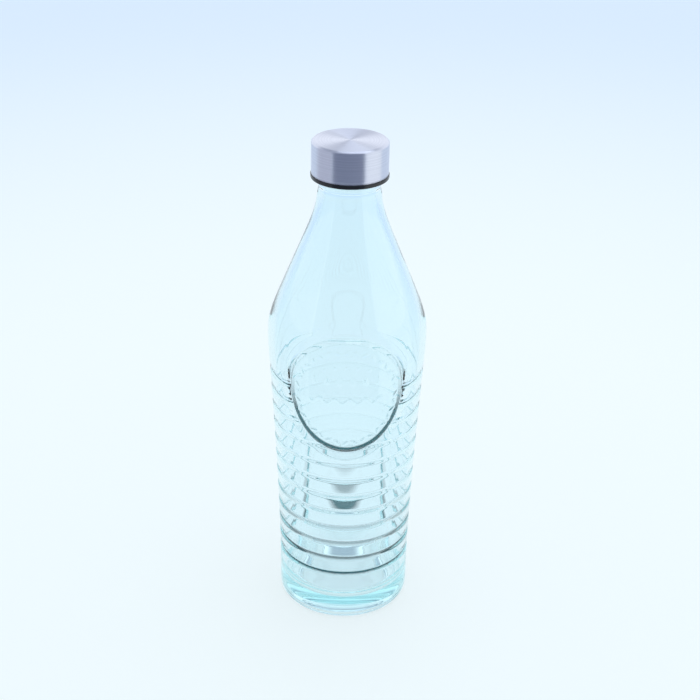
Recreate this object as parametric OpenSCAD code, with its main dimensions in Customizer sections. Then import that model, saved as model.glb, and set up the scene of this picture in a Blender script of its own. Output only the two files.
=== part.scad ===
// One-litre glass water bottle with a screw cap.
// Frame: millimetres, +Z up, origin at the centre of the base, the emblem faces -Y.

/* [Glass body] */
// Height of the glass from the table to the sealing rim
glass_h = 283.2; // [275:0.1:295]
// Radius of the plain band above the heel
band_r = 38.5; // [36:0.1:41]
// Largest radius, at the shoulder
shoulder_r = 46.3; // [44:0.1:49]
// Height of the shoulder's corner
shoulder_z = 182; // [178:1:186]
// How much the cone above the shoulder narrows for each millimetre of height
cone_slope = 0.43; // [0.41:0.005:0.45]
// Outer radius of the neck just under the cap
neck_r = 16.7; // [16.4:0.1:17]
// Thickness of the side wall
wall = 3.4; // [2.8:0.1:4]

/* [Base] */
// Outer radius of the flat ring that the bottle stands on
foot_r = 34.5; // [33:0.1:36]
// Height of the rounded heel
heel_h = 5; // [4:0.5:8]
// Height of the hollow under the base
punt_h = 5; // [3:0.5:7]
// Thickness of the glass at the middle of the base
floor_t = 6; // [4:0.5:8]

/* [Ribs] */
// Number of grooves around the body
groove_count = 12; // [8:1:12]
// Height of the lowest groove
groove_z = 33.3; // [30:0.1:36]
// Distance from one groove to the next
groove_pitch = 11; // [10:0.1:11]
// Depth of the lowest groove
groove_depth = 1.1; // [0.6:0.1:1.4]
// Depth of the top groove
top_groove_depth = 0.4; // [0.3:0.1:0.6]

/* [Emblem] */
// Radius of the round emblem, measured along the glass
emblem_r = 34; // [30:0.5:36]
// Height of the emblem's centre
emblem_z = 154; // [150:0.1:156]
// Height of the emblem's plate above the glass
plate_h = 1.1; // [0.6:0.1:1.3]
// Height of the emblem's ornament above the plate
relief_h = 0.5; // [0.4:0.1:0.9]
// Number of leaves in the emblem's border
leaf_count = 36; // [24:2:40]

/* [Neck finish and thread] */
// Radius of the mouth
mouth_r = 12.8; // [12:0.1:13]
// Outer radius of the threaded finish, without its thread
finish_r = 16; // [15.8:0.1:16.2]
// Rise of the thread in one turn
thread_lead = 4; // [3.5:0.1:4.5]
// Turns of thread on the glass
thread_turns = 1.6; // [1.25:0.05:1.75]

/* [Cap] */
// Outer radius of the steel shell
cap_r = 21; // [20.8:0.1:21.5]
// Height of the steel shell
shell_h = 18.3; // [17:0.1:19]
// Thickness of the steel
steel_t = 0.5; // [0.4:0.1:0.6]
// Height of the plastic flange that shows under the steel
flange_h = 2.3; // [1.8:0.1:2.6]
// How far the flange stands out past the steel
flange_out = 0.4; // [0.2:0.1:0.6]
// Thickness of the seal ring
seal_t = 1.8; // [1.4:0.1:2.2]
// Thickness of the plastic insert's top plate
insert_top_t = 1.5; // [1.2:0.1:1.8]
// Number of ribs that hold the steel shell on the insert
grip_count = 24; // [12:1:32]

/* [Hidden] */
$fn = 96;

glass_colour = [0.72, 0.90, 0.88, 0.5];
steel_colour = [0.72, 0.73, 0.76];
plastic_colour = [0.05, 0.06, 0.07];
silicone_colour = [0.88, 0.90, 0.90];

// Glass: shape of the outline
taper_power = 1.5;       // how the side flares towards the shoulder
band_z = 20;             // the flare starts here
blend_w = 4;             // softness of the shoulder's and the neck's bends
curl_in = 1.6;           // a rib curls in to the groove below it over this height
lean_in = 2.2;           // and to the groove above it over this one
rib_bow = 0.25;          // between them a rib bows out by this much
cone_step = 3;           // spacing of the outline's points above the ribs
heel_steps = 6;
punt_r = 30;             // the hollow under the base
punt_steps = 6;
floor_corner = 11;       // inner bend between the floor and the wall
neck_top_z = 260;        // the neck ends here and the transfer bead begins
bead_r = 17.1;
bead_z = 263;
bead_half_h = 1.6;
finish_z = 266;          // the threaded finish begins here
rim_round = 0.9;

// Emblem: places along the glass, from the emblem's centre
leaf_ring_r = emblem_r - 5.4;
leaf_len = 3.6;
leaf_w = 1.5;
leaf_tilt = 38;
wrap_r = 45;             // radius of the glass that the emblem is wrapped on
relief_sink = 0.25;      // how far the ornament is sunk into the plate
// Heights of the relief's outline, close together where the shoulder bends
relief_heights = [for (t = [-1.05, -0.6, -0.2, 0.2, 0.55, 0.72, 0.82, 0.92, 1.05]) emblem_z + t * emblem_r];

// Thread
thread_depth = 1.3;
thread_root_w = 2.4;     // axial width at the root
thread_crest_w = 1.1;
thread_steps = 48;       // faces in one turn
thread_fade = 30;        // degrees over which each end of a thread gets lower
thread_end = 0.3;        // part of the thread's depth that is left at its ends
thread_start = 10;       // degrees from +X to where both threads begin
thread_bury = 0.5;       // how far a thread's root lies inside its wall
thread_top_gap = 3;      // from the rim down to the start of the glass thread
radial_gap = 0.3;        // between the insert and the glass, at crest and root

// Cap: levels, from the rim up
seal_z = glass_h;
insert_top_z = seal_z + seal_t;
shell_top_z = insert_top_z + insert_top_t + steel_t;
shell_bottom_z = shell_top_z - shell_h;
flange_z = shell_bottom_z - flange_h;
insert_bore_r = finish_r + thread_depth + radial_gap;
sleeve_r = insert_bore_r + 1.5;
glue_gap = 0.05;
grip_r = cap_r - steel_t - glue_gap;
grip_w = 1.2;
grip_hold = 0.3;         // how far each grip rib is sunk into the sleeve
seal_outer_r = insert_bore_r - 0.1;
seal_inner_r = 11.8;

// Radius of the body's smooth line, before grooves, shoulder and neck
function flare(z) = band_r + (shoulder_r - band_r)
    * pow(max(0, z - band_z) / (shoulder_z - band_z), taper_power);
function cone(z) = shoulder_r - (z - shoulder_z) * cone_slope;
function lower_of(a, b) = 0.5 * (a + b - sqrt((a - b) * (a - b) + blend_w * blend_w));
function higher_of(a, b) = 0.5 * (a + b + sqrt((a - b) * (a - b) + blend_w * blend_w));
// Outer radius of the bottle without its grooves
function smooth_r(z) = higher_of(lower_of(flare(z), cone(z)), neck_r - 0.2);
top_groove_z = groove_z + (groove_count - 1) * groove_pitch;
function depth_at(z) = top_groove_depth + (groove_depth - top_groove_depth)
    * pow(max(0, min(1, (top_groove_z - z) / (top_groove_z - groove_z))), 1.5);
function bow_cut(to_groove) = rib_bow * pow(1 - 2 * to_groove / groove_pitch, 2);

// Points of the ribs' outline, rib by rib: the groove, the end of its upper flank, the crest,
// and the start of the next groove's lower flank
function groove_point(z) = [smooth_r(z) - depth_at(z) - rib_bow, z];
function flank_end(z) = [smooth_r(z + curl_in) - bow_cut(curl_in), z + curl_in];
function crest(z) = [smooth_r(z + groove_pitch / 2), z + groove_pitch / 2];
function flank_start(z) = [smooth_r(z - lean_in) - bow_cut(lean_in), z - lean_in];
rib_points = [for (k = [0 : groove_count - 1]) let (z = groove_z + k * groove_pitch)
    each [crest(z - groove_pitch), flank_start(z), groove_point(z), flank_end(z)]];
cone_heights = [for (z = [top_groove_z + groove_pitch : cone_step : neck_top_z]) z];

punt_line = [for (i = [0 : punt_steps]) let (a = 90 * i / punt_steps)
    [punt_r * sin(a), punt_h * cos(a)]];
heel_line = [for (i = [0 : heel_steps]) let (a = 90 * i / heel_steps)
    [foot_r + (band_r - foot_r) * sin(a), heel_h * (1 - cos(a))]];
side_line = concat(rib_points, [crest(top_groove_z)], [for (z = cone_heights) [smooth_r(z), z]]);
bead_line = [for (i = [0 : 6]) let (a = -90 + 180 * i / 6)
    [neck_r - 0.4 + (bead_r - neck_r + 0.4) * cos(a), bead_z + bead_half_h * sin(a)]];
rim_line = [for (i = [0 : 4]) let (a = 90 * i / 4)
    [finish_r - rim_round * (1 - cos(a)), glass_h - rim_round * (1 - sin(a))]];

function inner_r(z) = max(mouth_r, smooth_r(z) - wall);
floor_z = punt_h + floor_t;
corner_z = floor_z + floor_corner;
inner_side = [for (z = [neck_top_z - 6 : -2 * cone_step : corner_z + 1]) [inner_r(z), z]];
inner_corner = [for (i = [0 : 6]) let (a = 90 * i / 6)
    [inner_r(corner_z) - floor_corner * (1 - cos(a)), floor_z + floor_corner * (1 - sin(a))]];

// A point of the emblem, measured along the glass, as seen straight from the front
function wrapped(p) = [wrap_r * sin(p.x / wrap_r * 180 / PI), p.y];
function turned(p, a) = [p.x * cos(a) - p.y * sin(a), p.x * sin(a) + p.y * cos(a)];

module wrapped_shape(points) { polygon([for (p = points) wrapped(p)]); }

module disc_shape(r, at = [0, 0], points = 72) {
    wrapped_shape([for (i = [0 : points - 1]) let (a = 360 * (i + 0.4) / points) at + r * [cos(a), sin(a)]]);
}

// One pointed leaf at angle a of the border, leaning to one side
module leaf_shape(a, lean) {
    middle = leaf_ring_r * [cos(a), sin(a)];
    wrapped_shape([for (i = [0 : 7]) let (t = 360 * i / 8)
        middle + turned([leaf_len / 2 * cos(t), leaf_w / 2 * sin(t) * abs(sin(t))], a + 90 + lean)]);
}

// A wavy band of the given half length
module wave_shape(half, y, height, waves, thick) {
    steps = 8 * waves;
    line = [for (i = [0 : steps]) [-half + 2 * half * i / steps, y + height * sin(360 * waves * i / steps)]];
    wrapped_shape(concat([for (p = line) p + [0, thick / 2]],
        [for (i = [steps : -1 : 0]) line[i] - [0, thick / 2]]));
}

// A drop with its point up
module drop_shape(r, at) {
    wrapped_shape(concat([at + [0, 2.1 * r]], [for (i = [0 : 8]) let (a = 60 + 240 * i / 8)
        at + r * [-sin(a), cos(a)]]));
}

// A skin between two heights over the smooth glass, cut to its child's outline
module front_relief(from, to) {
    intersection() {
        rotate_extrude() polygon(concat(
            [for (z = relief_heights) [smooth_r(z) + from, z]],
            [for (i = [len(relief_heights) - 1 : -1 : 0]) let (z = relief_heights[i]) [smooth_r(z) + to, z]]));
        translate([0, 0, emblem_z]) rotate([90, 0, 0]) linear_extrude(2 * shoulder_r) children();
    }
}

module emblem_ornament() {
    for (i = [0 : leaf_count - 1]) leaf_shape(360 * i / leaf_count, i % 2 == 0 ? leaf_tilt : -leaf_tilt);
    for (x = [-17.5 : 7 : 17.5]) drop_shape(1.5, [x, 10.5]);
    wave_shape(half = 21, y = -1.5, height = 1.6, waves = 5, thick = 1.3);
    for (x = [-12 : 6 : 12]) disc_shape(0.9, [x, 20 - x * x / 60], 12);
}

// A helical ridge. out = 1 stands out from its wall, and out = -1 stands in.
module thread_ridge(wall_r, out, bottom_z) {
    count = ceil(thread_turns * thread_steps);
    function fade(i) = min(1, thread_end
        + (1 - thread_end) * min(i, count - i) * 360 / thread_steps / thread_fade);
    // the buried corners, then the crest's corners
    points = [for (i = [0 : count]) let (
            a = thread_start + 360 * i / thread_steps,
            z = bottom_z + thread_lead * i / thread_steps,
            crest = wall_r + out * thread_depth * fade(i),
            buried = wall_r - out * thread_bury,
            section = [[buried, -thread_root_w / 2], [buried, thread_root_w / 2],
                [crest, thread_crest_w / 2], [crest, -thread_crest_w / 2]])
        for (p = section) [p[0] * cos(a), p[0] * sin(a), z + p[1]]];
    side = [for (i = [0 : count - 1], j = [0 : 3]) let (
            a = 4 * i + j, b = 4 * i + (j + 1) % 4, c = b + 4, d = a + 4)
        each [[a, b, c], [a, c, d]]];
    ends = [[3, 2, 1], [3, 1, 0], [4 * count, 4 * count + 1, 4 * count + 2],
        [4 * count, 4 * count + 2, 4 * count + 3]];
    faces = concat(side, ends);
    polyhedron(points, out < 0 ? faces : [for (f = faces) [f[2], f[1], f[0]]]);
}

glass_thread_z = glass_h - thread_top_gap - thread_turns * thread_lead;
// Closed, the insert's thread lies under the glass's thread, with a gap between the two flanks
insert_thread_z = glass_thread_z - thread_lead / 2;

module glass_bottle() {
    color(glass_colour) {
        rotate_extrude() polygon(concat(
            punt_line, heel_line, side_line, bead_line,
            [[finish_r, finish_z]], rim_line,
            [[mouth_r + rim_round, glass_h], [mouth_r, glass_h - rim_round]],
            inner_side, inner_corner, [[0, floor_z]]));
        front_relief(-groove_depth - rib_bow - 0.8, plate_h) disc_shape(emblem_r);
        front_relief(plate_h - relief_sink, plate_h + relief_h) emblem_ornament();
        thread_ridge(finish_r, 1, glass_thread_z);
    }
}

module seal_ring() {
    color(silicone_colour) translate([0, 0, seal_z]) difference() {
        cylinder(h = seal_t, r = seal_outer_r);
        translate([0, 0, -1]) cylinder(h = seal_t + 2, r = seal_inner_r);
    }
}

module threaded_insert() {
    flange_r = cap_r + flange_out;
    sleeve_h = insert_top_z - shell_bottom_z;
    color(plastic_colour) {
        difference() {
            union() {
                translate([0, 0, flange_z]) cylinder(h = insert_top_z + 0.5 - flange_z, r = sleeve_r);
                rotate_extrude() polygon([
                    [insert_bore_r + 0.5, flange_z],
                    [flange_r - 0.6, flange_z], [flange_r, flange_z + 0.6],
                    [flange_r, shell_bottom_z - 0.3], [flange_r - 0.3, shell_bottom_z],
                    [insert_bore_r + 0.5, shell_bottom_z]]);
                translate([0, 0, insert_top_z]) rotate_extrude() polygon([
                    [0, 0], [grip_r, 0], [grip_r, insert_top_t - 0.8],
                    [grip_r - 0.8, insert_top_t], [0, insert_top_t]]);
                for (i = [0 : grip_count - 1]) rotate(360 * i / grip_count)
                    translate([sleeve_r - grip_hold, -grip_w / 2, shell_bottom_z - 0.1])
                        cube([grip_r - sleeve_r + grip_hold - 0.02, grip_w, sleeve_h + 0.2]);
            }
            translate([0, 0, flange_z - 1]) cylinder(h = insert_top_z - flange_z + 1, r = insert_bore_r);
        }
        thread_ridge(insert_bore_r, -1, insert_thread_z);
    }
}

module steel_shell() {
    bevel = 1.1;
    inner_bevel = 0.6 * bevel;
    color(steel_colour) rotate_extrude() polygon([
        [cap_r - steel_t, shell_bottom_z], [cap_r, shell_bottom_z],
        [cap_r, shell_top_z - bevel], [cap_r - bevel, shell_top_z],
        [0, shell_top_z], [0, shell_top_z - steel_t],
        [cap_r - steel_t - inner_bevel, shell_top_z - steel_t],
        [cap_r - steel_t, shell_top_z - steel_t - inner_bevel]]);
}

glass_bottle();
seal_ring();
threaded_insert();
steel_shell();
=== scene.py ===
"""Looks of the glass water bottle: each piece is built of rings of points round the bottle's axis."""

import math

import bmesh
import bpy
import numpy as np
from mathutils import Matrix, Vector


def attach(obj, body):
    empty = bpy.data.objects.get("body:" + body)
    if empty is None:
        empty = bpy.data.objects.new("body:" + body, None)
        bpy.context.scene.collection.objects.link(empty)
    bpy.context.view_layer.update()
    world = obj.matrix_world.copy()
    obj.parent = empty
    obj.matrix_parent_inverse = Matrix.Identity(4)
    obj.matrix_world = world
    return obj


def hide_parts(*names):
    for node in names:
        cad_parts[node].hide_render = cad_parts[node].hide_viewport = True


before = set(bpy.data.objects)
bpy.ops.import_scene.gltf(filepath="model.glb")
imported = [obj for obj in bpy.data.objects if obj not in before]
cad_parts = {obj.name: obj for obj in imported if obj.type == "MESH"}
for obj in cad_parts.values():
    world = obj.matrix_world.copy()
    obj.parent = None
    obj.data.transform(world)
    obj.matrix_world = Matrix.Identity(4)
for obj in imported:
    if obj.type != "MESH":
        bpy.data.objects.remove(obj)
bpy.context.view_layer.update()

MM = 0.001  # the sizes below are in millimetres, as in the CAD model

# Glass body
GLASS_H = 283.2
BAND_R = 38.5
SHOULDER_R = 46.3
SHOULDER_Z = 182.0
CONE_SLOPE = 0.43
NECK_R = 16.5
WALL = 3.4
BAND_Z = 20.0
TAPER_POWER = 1.5
BLEND_W = 4.0
FOOT_R = 34.5
HEEL_H = 5.0
PUNT_R = 30.0
PUNT_H = 5.0
FLOOR_T = 6.0
FLOOR_CORNER = 11.0

# Ribs: bands that bow out between sharp grooves, which get shallower with height
GROOVE_COUNT = 12
GROOVE_Z = 33.3
GROOVE_PITCH = 11.0
LOW_GROOVE_DEPTH = 1.1
TOP_GROOVE_DEPTH = 0.4
CURL_IN = 1.35  # each band curls in sharply to the groove below it
LEAN_IN = 2.2  # and a little less sharply to the groove above it
RIB_BOW = 0.25  # how far a band bows out
TOP_GROOVE_Z = GROOVE_Z + (GROOVE_COUNT - 1) * GROOVE_PITCH

# Emblem, measured along the glass from its centre
EMBLEM_R = 34.0
EMBLEM_Z = 154.0
WRAP_R = 45.0
PLATE_H = 1.4
# The plate's edge falls from EDGE_IN inside its radius to EDGE_OUT outside it, into a shallow moat
# that ends MOAT_OUT outside it
MOAT_DEPTH = 1.2
EDGE_IN = 1.2
EDGE_OUT = 2.0
MOAT_OUT = 6.5
RELIEF_H = 0.5
LEAF_COUNT = 36
LEAF_RING_R = 28.6
LEAF_LENGTH = 4.2
LEAF_WIDTH = 1.9
LEAF_TILT = math.radians(38)
DROP_R = 1.75
DROP_TIP = 2.1
DROP_ROW = (-17.5, -10.5, -3.5, 3.5, 10.5, 17.5)
DROP_Y = 10.5
WAVE_HALF = 21.0
WAVE_LENGTH = 8.4
WAVE_Y = -1.5
WAVE_HEIGHT = 1.6
WAVE_THICK = 1.5
DOT_ROW = (-12.0, -6.0, 0.0, 6.0, 12.0)
DOT_Y = 20.0
DOT_R = 1.0
DOT_CURVE = 60  # the row of dots bends down by the square of the distance over this
SOFT_FOOT = 1.3  # leaves and dots reach this many times their stated half width or radius

# Neck finish and thread
NECK_TOP_Z = 260.0
BEAD_R = 17.1
BEAD_Z = 263.0
BEAD_HALF_H = 1.6
FINISH_R = 16.0
FINISH_Z = 266.0
MOUTH_R = 12.8
RIM_ROUND = 0.9
THREAD_DEPTH = 1.3
THREAD_LEAD = 4.0
THREAD_TURNS = 1.6
THREAD_ROOT_W = 2.4
THREAD_CREST_W = 1.1
THREAD_START = math.radians(10)
THREAD_FADE = math.radians(30)
THREAD_TOP_GAP = 3.0
THREAD_Z = GLASS_H - THREAD_TOP_GAP - THREAD_TURNS * THREAD_LEAD

# Cap
CAP_R = 21.0
STEEL_T = 0.5
STEEL_BEVEL = 1.1
SHELL_TOP_Z = 287.0
SHELL_BOTTOM_Z = 268.7
FLANGE_Z = 266.4
FLANGE_R = 21.4
INSERT_BORE_R = 17.6
SLEEVE_R = 19.1
GRIP_R = 20.43
GRIP_W = 1.2
GRIP_COUNT = 24
GRIP_SINK = 0.3  # a grip is this much deeper than the gap from SLEEVE_R to GRIP_R
GRIP_INSET = 0.03  # its outer face stays this far inside GRIP_R
GRIP_OVERLAP = 0.1  # its ends reach this far into the flange and the top plate
SEAL_Z = GLASS_H
SEAL_T = 1.8
SEAL_OUTER_R = 17.5
SEAL_INNER_R = 11.8
SEAL_CORNER = 0.35
INSERT_TOP_Z = SEAL_Z + SEAL_T
INSERT_TOP_T = 1.5

# Colour of the glass. The dark lines are painted shade, not refracted: shape alone leaves them too faint.
CLEAR_TINT = (0.91, 0.975, 1.0)
# colour of the painted shade lines
LINE_SHADE_COLOUR = (0.002, 0.02, 0.025)
DEEP_COLOUR = (0.0, 0.74, 0.80, 1)
DEEP_DENSITY = 10.0
GROOVE_LINE = (1.8, 0.5)  # distances from a groove at which its painted shade line begins and is full
GROOVE_LINE_FADE = (55, 0)  # heights above the lowest groove at which the lines are gone and full
GROOVE_LINE_END = -2  # height from the lowest groove under which no groove line is drawn
OUTSIDE_R = 37.2  # between the inside and the outside of the wall, at the low grooves
EDGE_LINE_R = EMBLEM_R + 0.3
EDGE_LINE = (2.1, 1.0)  # distances from the emblem's edge at which its painted shade line begins and is full
EDGE_LINE_FADE = (14, -14)  # heights from the emblem's centre at which it is gone and full: the shade is painted on the lower side of the edge

# Pairs of shades that a grain drifts between
STEEL_SHADES = (0.40, 0.43, 0.54), (0.80, 0.83, 0.95)
PLASTIC_SHADES = (0.006, 0.007, 0.009), (0.011, 0.012, 0.016)
SILICONE_SHADES = (0.74, 0.77, 0.78), (0.84, 0.86, 0.87)

# Mesh resolution
EMBLEM_SPAN = 48  # degrees each side of the emblem's middle
EMBLEM_COLUMNS = 148
BACK_COLUMNS = 66
CAP_COLUMNS = 192
PLAIN_ROWS = 18, 1.8  # rows round a groove, and how strongly they crowd towards it
EMBLEM_ROWS = 26, 1.3  # the same where the emblem crosses the grooves
FINISH_STEP = 0.45
BORE_STEP = 0.36
INSIDE_STEP = 4.0

# Floor

# Floor colours near and far from the bottle: the far one is a painted falloff of light, darker and bluer
NEAR_FLOOR = (0.87, 0.96, 0.985)
FAR_FLOOR = (0.68, 0.82, 1.0)
FLOOR_GLOW = 0.78  # the share of its brightness that is its own, so that it is pale under the glass too
FLOOR_PAINTED_FALLOFF = 0.3, 1.6  # metres from the bottle at which the painted falloff of light, darker and bluer, starts and is full

# Room
ROOM_LOW = (1.10, 1.13, 1.16)
ROOM_OVERHEAD = (0.42, 0.46, 0.54)
ROOM_BY_VIEWER = (0.80, 0.85, 0.92)
ROOM_STRENGTH = 1.08
ROOM_DARKENS = 0.5, 0.8  # upward part of a direction at which the dark overhead starts and is full
VIEWER_SIDE = -0.35, -0.9  # the same for its +Y part and the side by the viewer
BACKDROP = (0.70, 0.84, 1.0, 1)

# Camera, in metres and degrees
CAMERA_PLACE = (0, -0.7213, 0.5272)
CAMERA_PITCH = 26.89
CAMERA_YAW = 0.14
CAMERA_ROLL = -1.03
CAMERA_LENS = 72.6  # millimetres, as is the sensor
CAMERA_SENSOR_W = 36

# Light trapped in the thick base leaves it only after many bounces
MAX_BOUNCES = 24
GLOSSY_BOUNCES = 16

# Lamp, in metres and watts
LAMP_PLACE = (0.25, 0.1, 1.6)
LAMP_SIZE = 1.4
LAMP_POWER = 7.0
LAMP_COLOUR = (0.92, 0.97, 1.0)

# Screens that show in reflections: name, azimuths from -Y, rings of radius and height, colour
WALL_RINGS = ((260, 2), (1200, 2), (1200, 1500))
CANOPY_RINGS = ((1200, 1500), (500, 2200))
SCREENS = (
    ("dark_screen", (-52, 44), WALL_RINGS, (0.20, 0.23, 0.33)),
    ("bright_screen", (47, 102), WALL_RINGS, (1.2, 1.25, 1.25)),
    ("left_screen", (-110, -55), WALL_RINGS, (0.66, 0.69, 0.78)),
    ("canopy", (-40, 40), CANOPY_RINGS, (0.16, 0.19, 0.27)),
)
SCREEN_COLUMNS = 49


# ---------------------------------------------------------------- shapes

def smoothstep(x, low, high):
    t = np.clip((x - low) / (high - low), 0, 1)
    return t * t * (3 - 2 * t)


def bump(distance, half_width):
    """1 in the middle, easing to 0 at the half width."""
    return 1 - smoothstep(np.abs(distance), 0, half_width)


def arc(centre_r, centre_z, radius_r, radius_z, start, end, count):
    """Points of an elliptical arc, as (r, z) pairs, with its angles in degrees."""
    angles = np.radians(np.linspace(start, end, count))
    return [(centre_r + radius_r * math.cos(a), centre_z + radius_z * math.sin(a)) for a in angles]


def smooth_radius(z):
    """Outer radius of the bottle at height z, without its grooves."""
    rise = np.clip((z - BAND_Z) / (SHOULDER_Z - BAND_Z), 0, None)
    side = BAND_R + (SHOULDER_R - BAND_R) * rise ** TAPER_POWER
    cone = SHOULDER_R - (z - SHOULDER_Z) * CONE_SLOPE
    body = 0.5 * (side + cone - np.hypot(side - cone, BLEND_W))
    return 0.5 * (body + NECK_R + np.hypot(body - NECK_R, BLEND_W))


def groove_cut(z):
    """How far the ribbed surface lies inside the smooth one at height z."""
    half = GROOVE_PITCH / 2
    off = np.mod(z - GROOVE_Z + half, GROOVE_PITCH) - half
    up = np.clip((TOP_GROOVE_Z - z) / (TOP_GROOVE_Z - GROOVE_Z), 0, 1)
    depth = TOP_GROOVE_DEPTH + (LOW_GROOVE_DEPTH - TOP_GROOVE_DEPTH) * up ** 4
    notch = depth * bump(off, np.where(off > 0, CURL_IN, LEAN_IN))
    bow = RIB_BOW * (1 - np.abs(off) / half) ** 2
    in_ribs = (z > GROOVE_Z - half) & (z < TOP_GROOVE_Z + half)
    return in_ribs * (notch + bow)


def leaf_relief(s, t):
    """The emblem's border: leaves in a ring, leaning in and out by turns."""
    step = 2 * math.pi / LEAF_COUNT
    angle = np.arctan2(t, s)
    index = np.round(angle / step)
    off = angle - index * step
    rho = np.hypot(s, t)
    along, across = rho * np.sin(off), rho * np.cos(off) - LEAF_RING_R
    lean = np.where(np.mod(index, 2) == 0, LEAF_TILT, -LEAF_TILT)
    u = along * np.cos(lean) + across * np.sin(lean)
    v = across * np.cos(lean) - along * np.sin(lean)
    half_width = LEAF_WIDTH / 2 * np.clip(1 - (2 * u / LEAF_LENGTH) ** 2, 1e-3, 1)
    return bump(v, half_width * SOFT_FOOT) * (np.abs(u) < LEAF_LENGTH / 2)


def drop_relief(s, t):
    height = np.zeros_like(s)
    for x in DROP_ROW:
        h = (t - DROP_Y) / DROP_R
        round_part = np.sqrt(np.clip(1 - h * h, 0, 1))
        width = np.where(h < 0, round_part, np.clip(1 - h / DROP_TIP, 0, 1))
        height = np.maximum(height, bump(s - x, np.maximum(width * DROP_R, 1e-3)))
    return height


def wave_relief(s, t):
    line = WAVE_Y + WAVE_HEIGHT * np.sin(2 * math.pi * s / WAVE_LENGTH)
    inside = 1 - smoothstep(np.abs(s), WAVE_HALF - 1, WAVE_HALF)
    return bump(t - line, WAVE_THICK) * inside


def dot_relief(s, t):
    height = np.zeros_like(s)
    for x in DOT_ROW:
        away = np.hypot(s - x, t - DOT_Y + x * x / DOT_CURVE)
        height = np.maximum(height, bump(away, DOT_R * SOFT_FOOT))
    return height


def emblem(s, t):
    """How much of the ribs the emblem covers, and its height above the smooth glass."""
    rho = np.hypot(s, t)
    cover = 1 - smoothstep(rho, EMBLEM_R - EDGE_IN, EMBLEM_R + EDGE_OUT)
    places = (EMBLEM_R - EDGE_IN, EMBLEM_R + EDGE_OUT, EMBLEM_R + MOAT_OUT)
    plate = np.interp(rho, places, (PLATE_H, -MOAT_DEPTH, 0))
    reliefs = leaf_relief(s, t), drop_relief(s, t), wave_relief(s, t), dot_relief(s, t)
    ornament = np.maximum.reduce(reliefs)
    return cover, plate + RELIEF_H * ornament


def thread_height(angle_from_x, z, bottom_z):
    """How far a thread stands out of its wall, 0 to 1 of its depth."""
    height = np.zeros(np.broadcast(angle_from_x, z).shape)
    turn = np.mod(angle_from_x - THREAD_START, 2 * math.pi)
    for k in range(math.ceil(THREAD_TURNS)):
        run = turn + 2 * math.pi * k
        away = np.abs(z - bottom_z - THREAD_LEAD * run / (2 * math.pi))
        flank = 1 - smoothstep(away, THREAD_CREST_W / 2, THREAD_ROOT_W / 2)
        to_end = THREAD_TURNS * 2 * math.pi - run
        ends = smoothstep(np.minimum(run, to_end), 0, THREAD_FADE)
        height = np.maximum(height, flank * ends)
    return height


def even_columns(count):
    return np.linspace(0, 2 * math.pi, count, endpoint=False)


def bottle_columns():
    """Angles from -Y round to -Y again, close together across the emblem."""
    span = math.radians(EMBLEM_SPAN)
    front = np.linspace(-span, span, EMBLEM_COLUMNS, endpoint=False)
    back = np.linspace(span, 2 * math.pi - span, BACK_COLUMNS, endpoint=False)
    return np.concatenate([front, back])


def spin(name, rings, angles, closed=False):
    """Mesh object of rings of points. Each ring is (radius, height), numbers or one value per angle.

    A closed outline joins its last ring to its first; an open one is capped on the axis."""
    count = len(angles)
    radii = np.array([np.broadcast_to(r, count) for r, z in rings])
    heights = np.array([np.broadcast_to(z, count) for r, z in rings])
    points = np.stack([radii * np.sin(angles), -radii * np.cos(angles), heights], -1).reshape(-1, 3)
    across = np.arange(count)
    beside = (across + 1) % count
    last = len(rings) if closed else len(rings) - 1
    faces = []
    for i in range(last):
        a, b = i * count, (i + 1) % len(rings) * count
        faces += np.stack([a + across, a + beside, b + beside, b + across], -1).tolist()
    if not closed:
        ends = [(0, 0, heights[0, 0]), (0, 0, heights[-1, 0])]
        first_pole, last_pole = len(points), len(points) + 1
        top = (len(rings) - 1) * count
        faces += [(first_pole, j, i) for i, j in zip(across.tolist(), beside.tolist())]
        faces += [(last_pole, top + i, top + j) for i, j in zip(across.tolist(), beside.tolist())]
        points = np.concatenate([points, ends])
    return mesh_object(name, points * MM, faces)


def mesh_object(name, points, faces):
    mesh = bpy.data.meshes.new(name)
    mesh.from_pydata(points.tolist(), [], faces)
    work = bmesh.new()
    work.from_mesh(mesh)
    bmesh.ops.recalc_face_normals(work, faces=work.faces)
    work.to_mesh(mesh)
    work.free()
    mesh.shade_smooth()
    piece = bpy.data.objects.new(name, mesh)
    bpy.context.collection.objects.link(piece)
    return piece


def keep_edges_sharp(piece, degrees):
    """Smooth shading that breaks where the surface turns by more than this."""
    piece.data.set_sharp_from_angle(angle=math.radians(degrees))


# ---------------------------------------------------------------- materials

def node_adder(tree):
    """A short way to add a node to this tree, with its links by input and its settings by name."""
    def add(kind, links=(), **values):
        node = tree.nodes.new(kind)
        for key, value in values.items():
            setattr(node, key, value)
        for socket, source in links:
            tree.links.new(source, node.inputs[socket])
        return node

    return add


def new_material(name):
    """A material with its node tree, its Principled shader and its node adder."""
    material = bpy.data.materials.new(name)
    material.use_nodes = True
    tree = material.node_tree
    return material, tree, tree.nodes["Principled BSDF"], node_adder(tree)


def set_sockets(node, **values):
    for key, value in values.items():
        node.inputs[key.replace("_", " ")].default_value = value


def grade(add, value, nothing, full):
    """0 where the value is at the first limit, easing to 1 at the second."""
    node = add("ShaderNodeMapRange", [("Value", value)], interpolation_type="SMOOTHSTEP")
    set_sockets(node, From_Min=nothing, From_Max=full)
    return node.outputs["Result"]


def tint(tree, add, shader, factor, low, high, socket="Base Color"):
    """Colours the shader from the low shade to the high one, by the factor."""
    ramp = add("ShaderNodeMix", data_type="RGBA")
    ramp.inputs["A"].default_value = (*low, 1)
    ramp.inputs["B"].default_value = (*high, 1)
    tree.links.new(factor, ramp.inputs["Factor"])
    tree.links.new(ramp.outputs["Result"], shader.inputs[socket])


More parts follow.
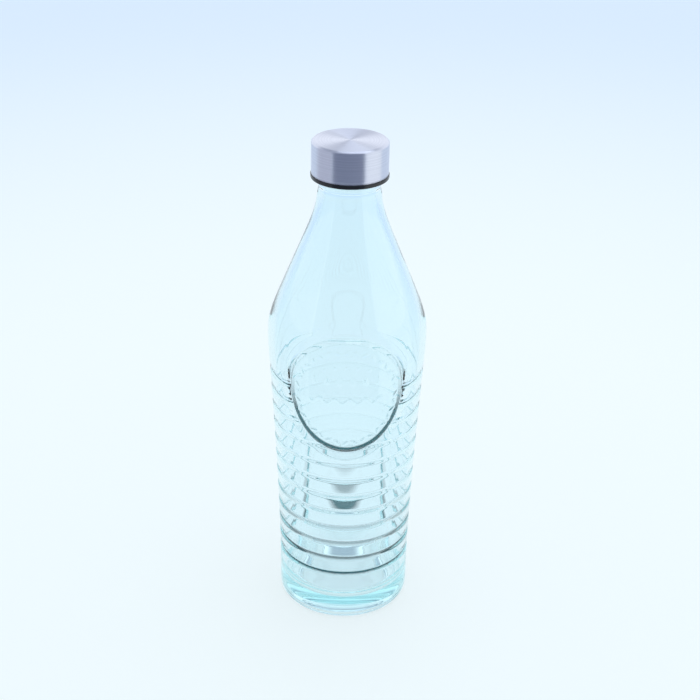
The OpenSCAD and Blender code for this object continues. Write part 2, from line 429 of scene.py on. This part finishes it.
def ripple(tree, add, shader, height, strength, distance):
    """Gives the shader's surface a faint bump from this height."""
    node = add("ShaderNodeBump", [("Height", height)])
    set_sockets(node, Strength=strength, Distance=distance)
    tree.links.new(node.outputs["Normal"], shader.inputs["Normal"])


def painted_line_shade(tree, add, place):
    """How strongly the glass is painted with the dark line colour, a painted shade, 0 to 1.

    The painted shade lines follow the outside of the low grooves and the lower part of the emblem's edge."""
    def calc(operation, *values, clamp=False):
        node = add("ShaderNodeMath", operation=operation, use_clamp=clamp)
        for socket, value in zip(node.inputs, values):
            if isinstance(value, (int, float)):
                socket.default_value = value
            else:
                tree.links.new(value, socket)
        return node.outputs["Value"]

    def ease(value, limits):
        return grade(add, value, limits[0] * MM, limits[1] * MM)

    def length(a, b):
        return calc("SQRT", calc("ADD", calc("POWER", a, 2), calc("POWER", b, 2)))

    x, y, z = add("ShaderNodeSeparateXYZ", [("Vector", place)]).outputs
    above = calc("SUBTRACT", z, GROOVE_Z * MM)
    to_groove = calc("PINGPONG", above, GROOVE_PITCH / 2 * MM)
    groove = calc("MULTIPLY", ease(to_groove, GROOVE_LINE), ease(above, GROOVE_LINE_FADE))
    groove = calc("MULTIPLY", groove, calc("GREATER_THAN", above, GROOVE_LINE_END * MM))
    groove = calc("MULTIPLY", groove, calc("GREATER_THAN", length(x, y), OUTSIDE_R * MM))
    round_glass = calc("MULTIPLY", calc("ARCTAN2", x, calc("MULTIPLY", y, -1)), WRAP_R * MM)
    up_glass = calc("SUBTRACT", z, EMBLEM_Z * MM)
    to_edge = calc("ABSOLUTE", calc("SUBTRACT", length(round_glass, up_glass), EDGE_LINE_R * MM))
    edge = calc("MULTIPLY", ease(to_edge, EDGE_LINE), ease(up_glass, EDGE_LINE_FADE))
    return calc("MAXIMUM", groove, edge, clamp=True)


def glass_material():
    """Clear pale cyan glass, faintly uneven, deeper in colour where it is thick, with dark lines of painted
    shade.
    """
    material, tree, shader, add = new_material("clear_glass")
    set_sockets(shader, Roughness=0.0, IOR=1.5, Transmission_Weight=1.0)
    place = add("ShaderNodeTexCoord").outputs["Object"]
    uneven = add("ShaderNodeTexNoise", [("Vector", place)])
    set_sockets(uneven, Scale=38.0, Detail=1.0, Roughness=0.4)
    # painted shade: the glass goes dark along the low grooves and the emblem's lower edge
    tint(tree, add, shader, painted_line_shade(tree, add, place), CLEAR_TINT, LINE_SHADE_COLOUR)
    ripple(tree, add, shader, uneven.outputs["Fac"], 0.1, 0.001)
    depth = add("ShaderNodeVolumeAbsorption")
    set_sockets(depth, Color=DEEP_COLOUR, Density=DEEP_DENSITY)
    output = tree.nodes["Material Output"]
    tree.links.new(depth.outputs["Volume"], output.inputs["Volume"])
    return material


def brushed_steel_material():
    """Spun stainless steel: fine circular scratches, so highlights stretch across them."""
    material, tree, shader, add = new_material("brushed_steel")
    set_sockets(shader, Metallic=1.0, Roughness=0.35, Anisotropic=0.95, Anisotropic_Rotation=0.25)
    place = add("ShaderNodeTexCoord").outputs["Object"]
    split = add("ShaderNodeSeparateXYZ", [("Vector", place)])
    flat = add("ShaderNodeCombineXYZ", [("X", split.outputs["X"]), ("Y", split.outputs["Y"])])
    radius = add("ShaderNodeVectorMath", [(0, flat.outputs["Vector"])], operation="LENGTH")
    across = add("ShaderNodeMath", [(0, radius.outputs["Value"]), (1, split.outputs["Z"])], operation="ADD")
    scratches = add("ShaderNodeTexNoise", [("W", across.outputs["Value"])], noise_dimensions="1D")
    set_sockets(scratches, Scale=1400.0, Detail=5.0, Roughness=0.8)
    tint(tree, add, shader, scratches.outputs["Fac"], *STEEL_SHADES)
    ripple(tree, add, shader, scratches.outputs["Fac"], 0.25, 0.00004)
    tangent = add("ShaderNodeTangent", direction_type="RADIAL", axis="Z")
    tree.links.new(tangent.outputs["Tangent"], shader.inputs["Tangent"])
    return material


def plastic_material():
    """Black moulded plastic, with a faint grain."""
    material, tree, shader, add = new_material("black_plastic")
    set_sockets(shader, Roughness=0.18, IOR=1.45)
    place = add("ShaderNodeTexCoord").outputs["Object"]
    grain = add("ShaderNodeTexNoise", [("Vector", place)])
    set_sockets(grain, Scale=900.0, Detail=3.0)
    tint(tree, add, shader, grain.outputs["Fac"], *PLASTIC_SHADES)
    ripple(tree, add, shader, grain.outputs["Fac"], 0.1, 0.0001)
    return material


def silicone_material():
    """Pale translucent silicone rubber."""
    material, tree, shader, add = new_material("silicone")
    set_sockets(shader, Roughness=0.5, IOR=1.41, Transmission_Weight=0.15)
    place = add("ShaderNodeTexCoord").outputs["Object"]
    cloud = add("ShaderNodeTexNoise", [("Vector", place)])
    set_sockets(cloud, Scale=160.0, Detail=2.0)
    tint(tree, add, shader, cloud.outputs["Fac"], *SILICONE_SHADES)
    ripple(tree, add, shader, cloud.outputs["Fac"], 0.1, 0.0002)
    return material


# ---------------------------------------------------------------- pieces

def side_heights():
    """Heights of the outline's points: close together at the grooves and across the emblem."""
    heights = list(np.arange(HEEL_H + 1.5, GROOVE_Z - GROOVE_PITCH / 2 - 0.5, 1.5))
    for k in range(GROOVE_COUNT):
        centre = GROOVE_Z + k * GROOVE_PITCH
        under_emblem = centre + GROOVE_PITCH > EMBLEM_Z - EMBLEM_R
        count, crowding = EMBLEM_ROWS if under_emblem else PLAIN_ROWS
        u = np.linspace(-1, 1, count, endpoint=False)
        heights += list(centre + GROOVE_PITCH / 2 * np.sign(u) * np.abs(u) ** crowding)
    above = TOP_GROOVE_Z + GROOVE_PITCH / 2
    emblem_top = EMBLEM_Z + EMBLEM_R + 1
    heights += list(np.arange(above, emblem_top, 0.5))
    heights += list(np.arange(emblem_top, NECK_TOP_Z, 2.0))
    return heights


def body_radii(z, angles):
    """Outer radius at height z for every angle, with grooves and emblem."""
    from_front = np.mod(angles + math.pi, 2 * math.pi) - math.pi
    s, t = from_front * WRAP_R, np.full_like(angles, z - EMBLEM_Z)
    cover, height = emblem(s, t)
    return smooth_radius(z) - groove_cut(np.array(z)) * (1 - cover) + height


def glass_rings(angles):
    rings = [(PUNT_R * math.sin(a), PUNT_H * math.cos(a)) for a in np.radians(np.linspace(8, 90, 10))]
    rings += [(r, 0) for r in np.linspace(PUNT_R + 0.7, FOOT_R, 5)]
    rings += arc(FOOT_R, HEEL_H, BAND_R - FOOT_R, HEEL_H, -80, 0, 9)
    rings += [(body_radii(z, angles), z) for z in side_heights()]
    bead_out = BEAD_R - NECK_R
    rings += arc(NECK_R + 0.1, BEAD_Z, bead_out, BEAD_HALF_H, -80, 80, 9)
    from_x = angles - math.pi / 2
    for z in np.arange(FINISH_Z - 0.5, GLASS_H - RIM_ROUND - 0.1, FINISH_STEP):
        rings.append((FINISH_R + THREAD_DEPTH * thread_height(from_x, z, THREAD_Z), z))
    rings += arc(FINISH_R - RIM_ROUND, GLASS_H - RIM_ROUND, RIM_ROUND, RIM_ROUND, 0, 90, 6)
    rings += arc(MOUTH_R + RIM_ROUND, GLASS_H - RIM_ROUND, RIM_ROUND, RIM_ROUND, 90, 180, 6)
    floor_z = PUNT_H + FLOOR_T
    corner_z = floor_z + FLOOR_CORNER
    for z in np.arange(NECK_TOP_Z + 15, corner_z, -INSIDE_STEP):
        rings.append((max(MOUTH_R, float(smooth_radius(z)) - WALL), z))
    inner_r = float(smooth_radius(corner_z)) - WALL
    rings += arc(inner_r - FLOOR_CORNER, corner_z, FLOOR_CORNER, FLOOR_CORNER, 0, -90, 10)
    rings += [(r, floor_z) for r in np.linspace(inner_r - FLOOR_CORNER - 2, 3, 6)]
    return rings


def make_bottle():
    angles = bottle_columns()
    piece = spin("glass_bottle_mesh", glass_rings(angles), angles)
    piece.data.materials.append(glass_material())
    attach(piece, "bottle")
    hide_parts("glass_bottle")


def make_steel_shell():
    inner_corner = STEEL_BEVEL - STEEL_T
    corner_r, corner_z = CAP_R - STEEL_BEVEL, SHELL_TOP_Z - STEEL_BEVEL
    rings = [(r, SHELL_TOP_Z) for r in np.linspace(0.6, corner_r - 0.2, 12)]
    rings += [(corner_r + 0.1, SHELL_TOP_Z - 0.04), (CAP_R - 0.04, corner_z + 0.1), (CAP_R, corner_z)]
    rings += [(CAP_R, z) for z in np.linspace(corner_z - 0.2, SHELL_BOTTOM_Z + 0.2, 10)]
    rings += [(CAP_R - 0.12, SHELL_BOTTOM_Z), (CAP_R - STEEL_T + 0.1, SHELL_BOTTOM_Z)]
    rings += [(CAP_R - STEEL_T, z) for z in np.linspace(SHELL_BOTTOM_Z + 0.1, corner_z, 6)]
    rings += arc(corner_r, corner_z, inner_corner, inner_corner, 0, 90, 5)
    rings += [(r, SHELL_TOP_Z - STEEL_T) for r in np.linspace(corner_r - 0.5, 0.6, 6)]
    piece = spin("steel_shell_mesh", rings, even_columns(CAP_COLUMNS))
    piece.data.materials.append(brushed_steel_material())
    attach(piece, "cap")
    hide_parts("steel_shell")


def insert_rings(angles):
    """Outline of the insert from the middle of its top plate, out, down, in and up its threaded bore."""
    top = INSERT_TOP_Z + INSERT_TOP_T
    rings = [(r, top) for r in np.linspace(1, GRIP_R - 0.3, 6)]
    rings += [(GRIP_R, top - 0.3), (GRIP_R, INSERT_TOP_Z + 0.2), (GRIP_R - 0.2, INSERT_TOP_Z)]
    rings += [(SLEEVE_R + 0.2, INSERT_TOP_Z), (SLEEVE_R, INSERT_TOP_Z - 0.2)]
    rings += [(SLEEVE_R, SHELL_BOTTOM_Z + 0.2), (SLEEVE_R + 0.2, SHELL_BOTTOM_Z)]
    rings += arc(FLANGE_R - 0.4, SHELL_BOTTOM_Z - 0.4, 0.4, 0.4, 90, 0, 5)
    rings += arc(FLANGE_R - 0.6, FLANGE_Z + 0.6, 0.6, 0.6, 0, -90, 5)
    rings += arc(INSERT_BORE_R + 0.3, FLANGE_Z + 0.3, 0.3, 0.3, -90, -180, 4)
    thread_z = THREAD_Z - THREAD_LEAD / 2
    from_x = angles - math.pi / 2
    for z in np.arange(FLANGE_Z + 0.6, INSERT_TOP_Z, BORE_STEP):
        rings.append((INSERT_BORE_R - THREAD_DEPTH * thread_height(from_x, z, thread_z), z))
    rings += [(INSERT_BORE_R, INSERT_TOP_Z)]
    rings += [(r, INSERT_TOP_Z) for r in np.linspace(INSERT_BORE_R - 1, 1, 5)]
    return rings


def add_grips(piece):
    """Ribs around the sleeve that hold the steel shell."""
    work = bmesh.new()
    work.from_mesh(piece.data)
    depth = GRIP_R - SLEEVE_R + GRIP_SINK
    low, high = SHELL_BOTTOM_Z - GRIP_OVERLAP, INSERT_TOP_Z + GRIP_OVERLAP
    size = Matrix.Diagonal((depth * MM, GRIP_W * MM, (high - low) * MM, 1))
    out = Matrix.Translation(((GRIP_R - GRIP_INSET - depth / 2) * MM, 0, (low + high) / 2 * MM))
    for i in range(GRIP_COUNT):
        turn = Matrix.Rotation(2 * math.pi * i / GRIP_COUNT, 4, "Z")
        bmesh.ops.create_cube(work, size=1, matrix=turn @ out @ size)
    work.to_mesh(piece.data)
    work.free()


def make_insert():
    angles = even_columns(CAP_COLUMNS)
    piece = spin("threaded_insert_mesh", insert_rings(angles), angles)
    add_grips(piece)
    keep_edges_sharp(piece, 50)
    piece.data.materials.append(plastic_material())
    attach(piece, "cap")
    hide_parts("threaded_insert")


def make_seal():
    bend = SEAL_CORNER
    low, high = SEAL_Z, SEAL_Z + SEAL_T
    rings = arc(SEAL_OUTER_R - bend, high - bend, bend, bend, 90, 0, 4)
    rings += arc(SEAL_OUTER_R - bend, low + bend, bend, bend, 0, -90, 4)
    rings += arc(SEAL_INNER_R + bend, low + bend, bend, bend, -90, -180, 4)
    rings += arc(SEAL_INNER_R + bend, high - bend, bend, bend, 180, 90, 4)
    piece = spin("seal_ring_mesh", rings, even_columns(CAP_COLUMNS), closed=True)
    piece.data.materials.append(silicone_material())
    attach(piece, "seal")
    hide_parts("seal_ring")


# ---------------------------------------------------------------- stage

def make_floor():
    """A plain pale table top, painted darker and bluer away from the bottle as a falloff of light. Most of
    its brightness is its own glow.
    """
    bpy.ops.mesh.primitive_circle_add(vertices=96, radius=30, fill_type="NGON")
    floor = bpy.context.object
    floor.name = "floor"
    material, tree, shader, add = new_material("pale_floor")
    set_sockets(shader, Roughness=0.6, Specular_IOR_Level=0.1, Emission_Strength=FLOOR_GLOW)
    place = add("ShaderNodeTexCoord").outputs["Object"]
    away = add("ShaderNodeVectorMath", [(0, place)], operation="LENGTH").outputs["Value"]
    # painted falloff of light: the floor is darker and bluer away from the bottle
    far = grade(add, away, *FLOOR_PAINTED_FALLOFF)
    near_lit = [c * (1 - FLOOR_GLOW) for c in NEAR_FLOOR]
    far_lit = [c * (1 - FLOOR_GLOW) for c in FAR_FLOOR]
    tint(tree, add, shader, far, near_lit, far_lit)
    tint(tree, add, shader, far, NEAR_FLOOR, FAR_FLOOR, "Emission Color")
    floor.data.materials.append(material)


def make_screen(name, azimuths, rings, colour):
    """A curved screen that shows in reflections only, not to the camera and not through glass.

    It spans these azimuths in degrees from -Y, and follows these rings of radius and height."""
    angles = np.radians(np.linspace(*azimuths, SCREEN_COLUMNS))
    points = np.array([(r * math.sin(a), -r * math.cos(a), z) for r, z in rings for a in angles]) * MM
    starts = [k * SCREEN_COLUMNS + i for k in range(len(rings) - 1) for i in range(SCREEN_COLUMNS - 1)]
    faces = [(i, i + 1, i + 1 + SCREEN_COLUMNS, i + SCREEN_COLUMNS) for i in starts]
    screen = mesh_object(name, points, faces)
    material, tree, shader, add = new_material(name)
    set_sockets(shader, Base_Color=(0, 0, 0, 1), Roughness=1.0, Specular_IOR_Level=0.0)
    set_sockets(shader, Emission_Color=(*colour, 1), Emission_Strength=1.0)
    clear = add("ShaderNodeBsdfTransparent")
    through_glass = add("ShaderNodeLightPath").outputs["Is Transmission Ray"]
    mixed = add("ShaderNodeMixShader", [("Fac", through_glass)])
    tree.links.new(shader.outputs["BSDF"], mixed.inputs[1])
    tree.links.new(clear.outputs["BSDF"], mixed.inputs[2])
    tree.links.new(mixed.outputs["Shader"], tree.nodes["Material Output"].inputs["Surface"])
    screen.data.materials.append(material)
    screen.visible_camera = False
    screen.visible_diffuse = False
    screen.visible_shadow = False


def make_overhead_light():
    data = bpy.data.lights.new("overhead", "AREA")
    data.shape, data.size, data.energy = "DISK", LAMP_SIZE, LAMP_POWER
    data.color = LAMP_COLOUR
    lamp = bpy.data.objects.new("overhead", data)
    lamp.location = LAMP_PLACE
    bpy.context.collection.objects.link(lamp)


def make_world():
    """A room that is bright low down, darker overhead and a little darker by the viewer.

    The camera itself sees a plain backdrop in its place."""
    world = bpy.data.worlds.new("studio")
    bpy.context.scene.world = world
    world.use_nodes = True
    tree = world.node_tree
    tree.nodes.clear()
    add = node_adder(tree)

    def blend(factor, a, b):
        node = add("ShaderNodeMix", [("Factor", factor)], data_type="RGBA")
        for socket, colour in (("A", a), ("B", b)):
            if isinstance(colour, tuple):
                node.inputs[socket].default_value = (*colour, 1)
            else:
                tree.links.new(colour, node.inputs[socket])
        return node.outputs["Result"]

    direction = add("ShaderNodeTexCoord").outputs["Generated"]
    split = add("ShaderNodeSeparateXYZ", [("Vector", direction)])
    room = blend(grade(add, split.outputs["Z"], *ROOM_DARKENS), ROOM_LOW, ROOM_OVERHEAD)
    room = blend(grade(add, split.outputs["Y"], *VIEWER_SIDE), room, ROOM_BY_VIEWER)
    straight = add("ShaderNodeBackground", [("Color", room)])
    straight.inputs["Strength"].default_value = ROOM_STRENGTH
    seen = add("ShaderNodeBackground")
    set_sockets(seen, Color=BACKDROP, Strength=1.0)
    camera_ray = add("ShaderNodeLightPath").outputs["Is Camera Ray"]
    mixed = add("ShaderNodeMixShader", [("Fac", camera_ray)])
    tree.links.new(straight.outputs["Background"], mixed.inputs[1])
    tree.links.new(seen.outputs["Background"], mixed.inputs[2])
    add("ShaderNodeOutputWorld", [("Surface", mixed.outputs["Shader"])])


def make_camera():
    """The viewpoint: above the cap, looking down on the bottle."""
    pitch, yaw, roll = (math.radians(angle) for angle in (CAMERA_PITCH, CAMERA_YAW, CAMERA_ROLL))
    level = math.cos(pitch)
    forward = Vector((math.sin(yaw) * level, math.cos(yaw) * level, -math.sin(pitch)))
    right = forward.cross(Vector((0, 0, 1))).normalized()
    down = forward.cross(right)
    image_right = right * math.cos(roll) + down * math.sin(roll)
    image_down = down * math.cos(roll) - right * math.sin(roll)
    data = bpy.data.cameras.new("camera")
    data.lens, data.sensor_width = CAMERA_LENS, CAMERA_SENSOR_W
    camera = bpy.data.objects.new("camera", data)
    bpy.context.collection.objects.link(camera)
    turn = Matrix((image_right, -image_down, -forward)).transposed()
    camera.matrix_world = Matrix.Translation(CAMERA_PLACE) @ turn.to_4x4()
    bpy.context.scene.camera = camera


make_camera()
make_world()
make_floor()
for screen in SCREENS:
    make_screen(*screen)
make_overhead_light()
make_bottle()
make_seal()
make_insert()
make_steel_shell()
bpy.context.scene.view_settings.view_transform = "Standard"
bpy.context.scene.cycles.max_bounces = MAX_BOUNCES
bpy.context.scene.cycles.glossy_bounces = GLOSSY_BOUNCES
bpy.context.scene.cycles.transmission_bounces = MAX_BOUNCES
